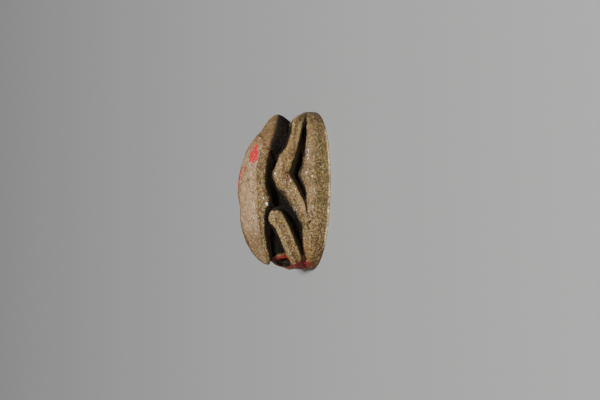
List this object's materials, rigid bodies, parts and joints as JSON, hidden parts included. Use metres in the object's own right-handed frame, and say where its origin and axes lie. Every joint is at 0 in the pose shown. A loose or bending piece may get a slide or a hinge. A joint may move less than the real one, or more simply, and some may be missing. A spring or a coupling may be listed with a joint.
{
  "type": "scarab amulet",
  "caption": "Beetle-shaped amulet carved from one stone, with legs folded against its sides, a flat underside and a drilled string bore along its length.",
  "frame": {"origin": "middle of the flat underside, at its level", "axes": "+X from the tail to the head, +Z from the underside up to the back, +Y to the beetle's left"},
  "size_m": [0.016, 0.0116, 0.007],
  "materials": {
    "steatite": "weathered glazed steatite, brown-olive, slightly glossy on worn edges"
  },
  "bodies": {
    "root": {"scarab": "steatite"}
  },
  "joints": []
}
